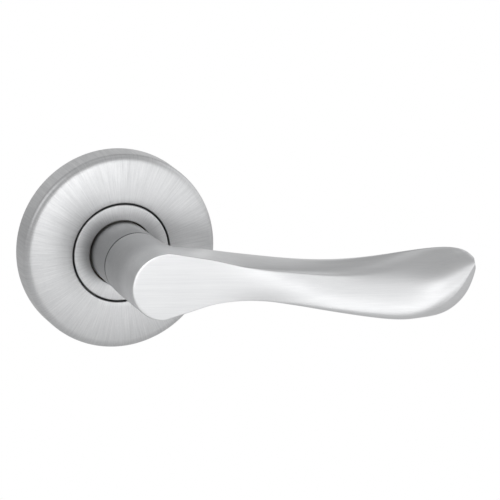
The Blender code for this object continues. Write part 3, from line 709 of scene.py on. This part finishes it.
def return_spring():
    """A coil whose front leg sits in the cage's slot and whose back leg sits in the cam."""
    per_turn = 48
    count = int(per_turn * (SPRING_TURNS + 0.25))
    coil = []
    for i in range(count + 1):
        angle = 2 * pi * i / per_turn
        drop = SPRING_PITCH * i / per_turn
        coil.append((SPRING_MEAN_R * cos(angle), SPRING_MEAN_R * sin(angle), SPRING_FRONT - drop))
    front_leg = [(CAGE_R + 0.5, 0, SPRING_FRONT), (SPRING_MEAN_R + 1.6, 0, SPRING_FRONT)]
    out = coil[-1][2]
    back_leg = [(LEG_X, SPRING_MEAN_R, out - 0.7), (LEG_X, SPRING_MEAN_R, CAM_LUG_DEPTH[0] + 0.4)]
    path = front_leg + coil[:-1] + back_leg
    curve = bpy.data.curves.new("return_spring", "CURVE")
    curve.dimensions = "3D"
    curve.bevel_depth = SPRING_WIRE / 2 * MM
    curve.bevel_resolution = 4
    curve.use_fill_caps = True
    spline = curve.splines.new("POLY")
    spline.points.add(len(path) - 1)
    for point, where in zip(spline.points, path):
        point.co = (*[v * MM for v in where], 1)
    made = meshed(bpy.data.objects.new("return_spring", curve))
    final = put("return_spring_fine", made, None, ["return_spring"], SPRING, sharp=50)
    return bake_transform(final)


def through_bolt(name, side):
    """A pan head with a cross drive on an M4 shank with its thread."""
    head, neck_r, neck_back = PLATE_THICK + GAP, BOLT_R - 0.3, PLATE_THICK + GAP - 1.2
    pan = ((0, 2.4), (1.8, 2.3), (2.8, 1.8), (3.4, 1.1), (BOLT_HEAD_R, 0.5), (BOLT_HEAD_R, 0))
    profile = [(r, head + out) for r, out in pan] + [(neck_r, head), (neck_r, neck_back), (0, neck_back)]
    made = turned("shape", profile, 64, closed=False)
    cross_slot(made, 2.2, 0.4, head + 0.9, head + 4)
    boolean(made, threaded(BOLT_R, 0.36, BOLT_PITCH, head - 0.4, BOLT_END), "UNION")
    place = (side * BOLT_SPACING / 2, 0, 0)
    return put(name + "_fine", made, "rose", [name], PLATED, place=place, sharp=45)


def threaded(radius, depth, pitch, front, back):
    """A solid rod with a helical thread, tapering at its end."""
    around, per_pitch, taper_long = 32, 8, 0.7
    rows = int((front - back) / pitch * per_pitch)
    bm = bmesh.new()
    rings = []
    for i in range(rows + 1):
        out = front + (back - front) * i / rows
        ring = []
        for k in range(around):
            phase = ((front - out) / pitch + k / around) % 1
            cut = depth * (1 - abs(2 * phase - 1)) ** 0.8
            taper = max(0, taper_long - (out - back)) * 0.8
            r = radius - max(cut, min(taper, depth * 1.2))
            angle = 2 * pi * k / around
            ring.append(bm.verts.new((r * cos(angle) * MM, r * sin(angle) * MM, out * MM)))
        rings.append(ring)
    skin(bm, rings)
    bm.faces.new(rings[0])
    bm.faces.new(rings[-1])
    bmesh.ops.recalc_face_normals(bm, faces=bm.faces)
    return object_from("thread", bm)


# ---------------------------------------------------------------- turning pieces

def neck_collar():
    profile = soft_corner([
        (COLLAR_R, COLLAR_FRONT), (COLLAR_R, COLLAR_BACK), (BORE_R, COLLAR_BACK), (BORE_R, COLLAR_FRONT),
    ], 0.35)
    made = turned("shape", profile)
    return put("neck_collar_fine", made, "lever_set", ["neck_collar"], SATIN_TURNED)


def wave_washer():
    """A thin ring with three waves, behind the cage's floor."""
    middle, half_thick, rise, waves, outer = CAGE_DEPTH - 0.65, 0.2, 0.15, 3, 11.4
    steps = 144
    bm = bmesh.new()
    rings = []
    for step in range(steps):
        angle = 2 * pi * step / steps
        lift = middle + rise * cos(waves * angle)
        front, back = lift + half_thick, lift - half_thick
        ring = []
        for r, out in ((outer, front), (outer, back), (BORE_R, back), (BORE_R, front)):
            ring.append(bm.verts.new((r * cos(angle) * MM, r * sin(angle) * MM, out * MM)))
        rings.append(ring)
    skin(bm, rings + rings[:1])
    bmesh.ops.recalc_face_normals(bm, faces=bm.faces)
    made = object_from("shape", bm)
    bevel(made, 0.06)
    return put("wave_washer_fine", made, "lever_set", ["wave_washer"], SPRING)


def circlip():
    """A ring open at the bottom, with an ear on either side of the opening. Angles in degrees."""
    inner, wide, ear, thick, steps = GROOVE_R + GAP, 9.7, 12.0, 1.0, 90
    gap_half, ear_half = 9, 20
    start, end = -90 + gap_half, 270 - gap_half
    outline = [at_angle(ear, start + 1), at_angle(ear + 0.2, start + 6), at_angle(ear, -90 + ear_half)]
    outline += [at_angle(wide, a) for a in range(-90 + ear_half + 4, 270 - ear_half - 3, 3)]
    outline += [at_angle(ear, 270 - ear_half), at_angle(ear + 0.2, end - 6), at_angle(ear, end - 1)]
    outline += [at_angle(inner, end - i * (360 - 2 * gap_half) / steps) for i in range(steps + 1)]
    front = (GROOVE[0] + GROOVE[1]) / 2 + thick / 2
    made = flat_outline("shape", outline, front, front - thick)
    hole_r, hole_at_r, hole_turn = 0.7, 10.7, 14.5
    for side in (-1, 1):
        x, up = at_angle(hole_at_r, -90 + side * hole_turn)
        boolean(made, rod(hole_r, (x, up, front - 3), (x, up, front + 2), 32))
    bevel(made, 0.08)
    return put("circlip_fine", made, "lever_set", ["circlip"], SPRING)


def spindle():
    half = SPINDLE / 2
    made = block((-half, -half, SPINDLE_BACK), (half, half, SPINDLE_FRONT))
    bevel(made, 0.5, 4)
    return put("spindle_fine", made, "lever_set", ["spindle"], PLATED)


def grub_screw():
    """A short screw with a hexagon socket. It is drawn upright, then turned to point up at the spindle."""
    tip = -(SPINDLE / 2 + GAP)
    length, edge, key_r, key_long, key_floor = 5.6, 0.3, 1.45, 6, 2.6
    profile = [(0, length)] + arc((GRUB_R - edge, length - edge), edge, 90, 0, 4)
    profile += [(GRUB_R, 0.5), (1.4, 0), (0, 0)]
    made = turned("shape", profile, 64, closed=False)
    bm = bmesh.new()
    bmesh.ops.create_cone(
        bm, cap_ends=True, segments=6, radius1=key_r * MM, radius2=key_r * MM, depth=key_long * MM
    )
    key = object_from("key", bm)
    key.location.z = (key_floor + key_long / 2) * MM
    boolean(made, key)
    down = Matrix.Translation(Vector((0, tip, GRUB_DEPTH)) * MM) @ Matrix.Rotation(radians(90), 4, "X")
    return put("grub_screw_fine", made, "lever_set", ["grub_screw"], PLATED, local=down)


# The arm by section along x: x, then (up, out) of the section's four corners (front top, front bottom,
# back bottom, back top), the front's swell, how evenly its points are spread, how far the back leans past
# the front along x, and how far the lower wall bulges.
ARM = (
    (17.0, (8.2, 54.0), (-5.4, 54.0), (-5.2, 38.6), (9.3, 38.2), 0.0, 0.0, 0.0, 0.4),
    (25.0, (6.2, 54.0), (-4.5, 54.0), (-3.9, 38.6), (8.3, 38.0), 0.1, 0.0, 0.0, 0.4),
    (34.0, (5.5, 53.9), (-4.7, 54.0), (-3.6, 38.8), (7.3, 38.2), 0.3, 0.2, 0.0, 0.4),
    (46.0, (4.6, 53.0), (-7.0, 54.0), (-5.3, 39.4), (6.1, 39.0), 0.4, 0.6, 0.0, 0.4),
    (60.0, (3.6, 51.3), (-9.7, 53.9), (-7.2, 41.0), (6.0, 40.4), 0.7, 1.0, 0.0, 0.4),
    (73.9, (5.0, 49.9), (-12.1, 53.9), (-9.5, 43.4), (7.7, 42.2), 1.3, 1.0, 0.0, 0.4),
    (85.9, (6.4, 48.8), (-12.7, 53.9), (-11.4, 45.6), (10.3, 44.0), 1.5, 1.0, 0.0, 0.9),
    (94.6, (7.6, 48.6), (-7.8, 53.7), (-11.6, 47.4), (11.7, 45.4), 1.8, 0.8, 0.4, 2.9),
    (98.5, (8.8, 48.7), (-5.1, 53.5), (-9.8, 48.3), (11.5, 46.4), 1.6, 0.6, 3.3, 1.8),
    (102.2, (9.5, 49.0), (-1.0, 53.2), (-4.8, 49.0), (9.8, 47.2), 1.1, 0.5, 4.2, 1.2),
    (104.8, (9.0, 49.6), (3.7, 52.4), (1.0, 49.6), (8.0, 48.2), 0.5, 0.5, 3.0, 0.8),
    (106.6, (7.6, 50.7), (5.8, 51.7), (4.2, 50.0), (6.9, 49.2), 0.1, 0.5, 1.4, 0.3),
)
# The edge comes back round the tip: which point of the section, from which ring, how crisp.
TIP_CREASES = (
    (6, 15, 0.2), (6, 16, 0.45), (6, 17, 0.6), (6, 18, 0.7), (6, 19, 0.7),
    (0, 17, 0.3), (0, 18, 0.5), (0, 19, 0.6),
)
SECTION = 12  # points in a section: 0 to 6 run down its front, 7 to 11 back up behind it
NECK_R = 10.4
NECK_ROOT = 31.0  # where the neck starts to turn into the arm
JOINT_CHAMFER = 0.4
# The neck's turn into the arm, ring by ring: how far the front has climbed to the nose, how far it has
# gone from there across to the arm, and how far the back has gone round its bend.
TURNING = ((0.45, 0, 0.16), (0.93, 0, 0.34), (1, 0, 0.46), (1, 0.12, 0.58), (1, 0.4, 0.72), (1, 0.72, 0.87))
NOSE_RING = 5  # the last of them before the front goes across
NOSE_CREASE = 0.4
EDGE_CREASE = 0.6  # of the front's upper and lower edges, as they leave the nose
END_CREASE = 0.7
BEND_ABOVE = -0.45  # how far the bend's corner keeps to the neck's height, above the axis and below it
BEND_BELOW = 0.15
LIMIT = (4 + 2 * cos(2 * pi / SECTION)) / 6  # how far subdivision pulls a ring of points in


def neck_ring(radius, out):
    """A ring whose subdivided form has that radius."""
    grown = radius / LIMIT
    turns = [2 * pi * k / SECTION for k in range(SECTION)]
    return [(-grown * sin(a), grown * cos(a), out) for a in turns]


def between(a, b, share, swell):
    """A point between two others, pushed sideways by the swell."""
    along = Vector(b) - Vector(a)
    side = Vector((-along.y, along.x)).normalized()
    return Vector(a).lerp(Vector(b), share) + side * swell


def arm_section(x, front_top, front_low, back_low, back_top, swell, even, lean, wall):
    """One row of ARM as points (x, up, out)."""
    half = SECTION // 2
    section = []
    for k in range(half + 1):
        share = (1 - cos(pi * k / half)) / 2 * (1 - even) + k / half * even
        section.append(between(front_top, front_low, share, -swell * 4 * share * (1 - share)))
    back_swell, upper_wall = 2 - lean * 0.4, 0.4
    section.append(between(front_low, back_low, 0.5, -wall))
    section.append(Vector(back_low))
    section.append(between(back_low, back_top, 0.5, -back_swell))
    section.append(Vector(back_top))
    section.append(between(back_top, front_top, 0.5, -upper_wall))
    leans = [0] * (half + 1) + [0.7, 0.9, 1, 0.65, 0.4]  # each point's share of the lean
    return [(x + lean * share, up, out) for share, (up, out) in zip(leans, section)]


def bend(start, end, share):
    """A point on the curve from the neck's back to the arm's back, round the finger gap's corner."""
    keep = BEND_ABOVE if start.y > 0 else BEND_BELOW
    corner = Vector((start.x, end.y + (start.y - end.y) * keep, end.z))
    return start.lerp(corner, share).lerp(corner.lerp(end, share), share)


def lever_rings():
    """The rings of the lever's cage, from the joint with the collar to the tip."""
    neck_top = neck_ring(NECK_R + 0.2, NECK_ROOT)
    nose = neck_ring(NECK_R, FRONT_DEPTH)
    arm_start = arm_section(*ARM[0])
    joint = neck_ring(NECK_R - JOINT_CHAMFER, JOINT_DEPTH)
    rings = [joint, neck_ring(NECK_R, JOINT_DEPTH + JOINT_CHAMFER), neck_top]
    for climb, across, turn in TURNING:
        loop = []
        for k in range(SECTION):
            low, high, end = Vector(neck_top[k]), Vector(nose[k]), Vector(arm_start[k])
            if k <= SECTION // 2:
                loop.append(tuple(low.lerp(high, climb).lerp(end, across)))
            else:
                loop.append(tuple(bend(low, end, turn)))
        rings.append(loop)
    return rings + [arm_section(*row) for row in ARM]


def lever_cage():
    """The lever's cage as a closed mesh, its edges creased for the subdivision."""
    bm = bmesh.new()
    crease = bm.edges.layers.float.new("crease_edge")
    rings = [[bm.verts.new(Vector(p) * MM) for p in loop] for loop in lever_rings()]
    skin(bm, rings)
    bm.faces.new(rings[0])
    end = rings[-1]
    for corners in ((0, 1, 10, 11), (1, 2, 9, 10), (2, 3, 4, 9), (4, 5, 8, 9), (5, 6, 7, 8)):
        bm.faces.new([end[k] for k in reversed(corners)])
    bmesh.ops.recalc_face_normals(bm, faces=bm.faces)

    def set_crease(a, b, value):
        bm.edges.get((a, b))[crease] = value

    for ring, weight in ((rings[0], 1.0), (rings[1], 0.7)):
        for k in range(SECTION):
            set_crease(ring[k], ring[(k + 1) % SECTION], weight)
    for ring, weight in ((rings[NOSE_RING], NOSE_CREASE), (end, END_CREASE)):
        for k in range(SECTION // 2):
            set_crease(ring[k], ring[k + 1], weight)
    arm_ring = len(rings) - len(ARM)
    for k, faded in ((0, 12), (6, 14)):
        for i in range(NOSE_RING, faded):
            set_crease(rings[i][k], rings[i + 1][k], EDGE_CREASE * min(1, (faded - i) / (faded - arm_ring)))
    for k, i, weight in TIP_CREASES:
        set_crease(rings[i][k], rings[i + 1][k], weight)
    return object_from("shape", bm)


def lever():
    """The subdivided cage with its shank, which is bored for the spindle and the grub screw."""
    made = lever_cage()
    smooth = made.modifiers.new("form", "SUBSURF")
    smooth.levels = smooth.render_levels = LEVER_LEVELS
    inside, chamfer = JOINT_DEPTH + 2, 0.6
    shank = [
        (0, inside), (SHANK_R, inside), (SHANK_R, GROOVE[1]), (GROOVE_R, GROOVE[1]), (GROOVE_R, GROOVE[0]),
        (SHANK_R, GROOVE[0]), (SHANK_R, SHANK_END + chamfer), (SHANK_R - chamfer, SHANK_END), (0, SHANK_END),
    ]
    boolean(made, turned("shank", shank, 128, closed=False), "UNION")
    for side in (-1, 1):
        low, high = sorted((side * FLAT, side * 12))
        boolean(made, block((-12, low, SHANK_END - 2), (12, high, FLAT_FRONT)))
    half = SPINDLE / 2 + GAP
    boolean(made, block((-half, -half, SHANK_END - 3), (half, half, SPINDLE_FRONT + 1)))
    boolean(made, rod(GRUB_R + GAP, (0, -14, GRUB_DEPTH), (0, -3, GRUB_DEPTH)))
    return put("lever_fine", made, "lever_set", ["lever"], SATIN_LEVER)


# ---------------------------------------------------------------- studio

def toward(place, target):
    return (Vector(target) - Vector(place)).to_track_quat("-Z", "Y")


def softbox(name, azimuth, elevation, size, power):
    """A panel light that faces the handle. Azimuth 0 is straight in front, and counts to the right."""
    light = bpy.data.lights.new(name, "AREA")
    light.shape = "RECTANGLE"
    light.size, light.size_y = size
    light.energy = power
    made = bpy.data.objects.new(name, light)
    a, e = radians(azimuth), radians(elevation)
    outward = Vector((sin(a) * cos(e), -cos(a) * cos(e), sin(e)))
    made.location = outward * PANEL_DISTANCE + Vector(CENTRE)
    made.rotation_mode = "QUATERNION"
    made.rotation_quaternion = toward(made.location, CENTRE)
    made.visible_camera = False
    bpy.context.scene.collection.objects.link(made)
    return made


# Soft panels: name, azimuth and elevation in degrees, width and height in metres, power in watts
PANELS = (
    ("key", 5, 8, (0.62, 0.62), 2.15),
    ("key_low", -1, -12, (0.62, 0.62), 1.5),
    ("key_right", 22, -14, (0.62, 0.62), 1.0),
    ("right_near", 40, 8, (0.9, 0.9), 1.2),
    ("right_low", 62, 6, (1.3, 1.3), 0.8),
    ("right_high", 90, 30, (1.2, 1.2), 2.4),
    ("left", -75, 30, (0.8, 1.0), 1.8),
    ("top", 0, 88, (1.0, 0.8), 0.5),
    ("back_right", 140, 8, (0.9, 0.9), 0.6),
    ("back", 180, 15, (1.2, 0.8), 0.9),
)
PANEL_DISTANCE = 1.4
AMBIENT = 0.46  # the world's light, which the camera sees as plain white
FLOOR_HEIGHT = -0.30  # well below the handle, so that it casts no shadow in the picture
FLOOR_HALF_SIZE = 30


def studio():
    """The panels and an even light from all round."""
    for panel in PANELS:
        softbox(*panel)
    world = bpy.data.worlds.new("studio")
    bpy.context.scene.world = world
    world.use_nodes = True
    tree = world.node_tree
    ground = tree.nodes["Background"]
    ground.inputs["Color"].default_value = (1, 1, 1, 1)
    ground.inputs["Strength"].default_value = AMBIENT
    white = node(tree, "Background", {"Color": (1, 1, 1, 1), "Strength": 1.0})
    seen = node(tree, "LightPath").outputs["Is Camera Ray"]
    mix = node(tree, "MixShader", {0: seen, 1: ground.outputs[0], 2: white.outputs[0]})
    tree.links.new(mix.outputs[0], tree.nodes["World Output"].inputs["Surface"])


def floor():
    """A white table below the handle. The camera sees it as plain white, and through it from underneath."""
    bm = bmesh.new()
    bmesh.ops.create_grid(bm, x_segments=1, y_segments=1, size=FLOOR_HALF_SIZE)
    made = object_from("table", bm)
    made.location.z = FLOOR_HEIGHT
    material = bpy.data.materials.new("table_white")
    material.use_nodes = True
    tree = material.node_tree
    tree.nodes.remove(tree.nodes["Principled BSDF"])
    paint = node(tree, "BsdfDiffuse", {"Color": (0.8, 0.8, 0.8, 1)})
    glow = node(tree, "Emission", {"Strength": 0.05})
    lit = node(tree, "AddShader", {0: paint.outputs[0], 1: glow.outputs[0]})
    bright = node(tree, "Emission", {"Strength": 1.0})
    path = node(tree, "LightPath").outputs["Is Camera Ray"]
    shown = node(tree, "MixShader", {0: path, 1: lit.outputs[0], 2: bright.outputs[0]})
    clear = node(tree, "BsdfTransparent")
    under = node(tree, "NewGeometry").outputs["Backfacing"]
    final = node(tree, "MixShader", {0: under, 1: shown.outputs[0], 2: clear.outputs[0]})
    tree.links.new(final.outputs[0], tree.nodes["Material Output"].inputs["Surface"])
    made.data.materials.append(material)


def camera():
    """The photograph's view: from the left and a little above, with a small roll."""
    place = Vector((-212.4, -647.2, 161.4)) * MM
    target = Vector((36.569, -30.0, 5.668)) * MM
    roll = radians(4.888)
    back = (place - target).normalized()
    right = Vector((0, 0, 1)).cross(back).normalized()
    above = back.cross(right)
    x_axis = right * cos(roll) + above * sin(roll)
    y_axis = above * cos(roll) - right * sin(roll)
    data = bpy.data.cameras.new("camera")
    data.sensor_width = 36
    data.lens = 153.28
    data.clip_start, data.clip_end = 0.01, 100
    made = bpy.data.objects.new("camera", data)
    turn = Matrix((x_axis, y_axis, back)).transposed().to_4x4()
    made.matrix_world = Matrix.Translation(place) @ turn
    bpy.context.scene.collection.objects.link(made)
    bpy.context.scene.camera = made


CENTRE = (0.035, -0.02, 0.0)  # the middle of the handle, which the panels face
TOOLS = []  # cutters and first shapes, removed when their piece is put
# The face and the disc carry painted shade and reflection beside the neck
SATIN_FACE = satin("satin_face", sunburst, 0.40, shade=painted_face_shade, contrast=0.09)
SATIN_DISC = satin("satin_disc", sunburst, 0.40, shade=painted_disc_shade, contrast=0.09)
# The collar's copy is darker, a painted shade, and the lever's is lighter, a painted light
SATIN_TURNED = satin("satin_turned", turned_lines, 0.38, light=0.88, shade=dirty_joint, contrast=0.06)
SATIN_LEVER = satin("satin_lever", lengthwise, 0.30, 0.7, 1.16, neck_shade_and_joint_dirt)
ZINC = zinc_casting()
PLATED = plated_steel()
SPRING = spring_steel()
BRONZE = sintered_bronze()
NYLON = nylon()

rose_cover()
centre_disc()
base_plate()
spring_cage()
cage_screw("cage_screw_upper", 1)
cage_screw("cage_screw_lower", -1)
for pin, at in zip(("stop_pin_left", "stop_pin_right"), stop_angles()):
    stop_pin(pin, at)
drive_cam()
return_spring()
through_bolt("through_bolt_left", -1)
through_bolt("through_bolt_right", 1)
neck_collar()
wave_washer()
circlip()
spindle()
grub_screw()
lever()

# The CAD's own pieces that stay, with better materials
KEPT = {"bearing_bush": BRONZE, "slip_washer": NYLON}
for number in (1, 2, 3):
    KEPT[f"cover_clip_{number}"] = KEPT[f"clip_rivet_{number}"] = SPRING
for name, material in KEPT.items():
    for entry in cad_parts[name].material_slots:
        entry.material = material

studio()
floor()
camera()
bpy.context.scene.view_settings.view_transform = "Standard"
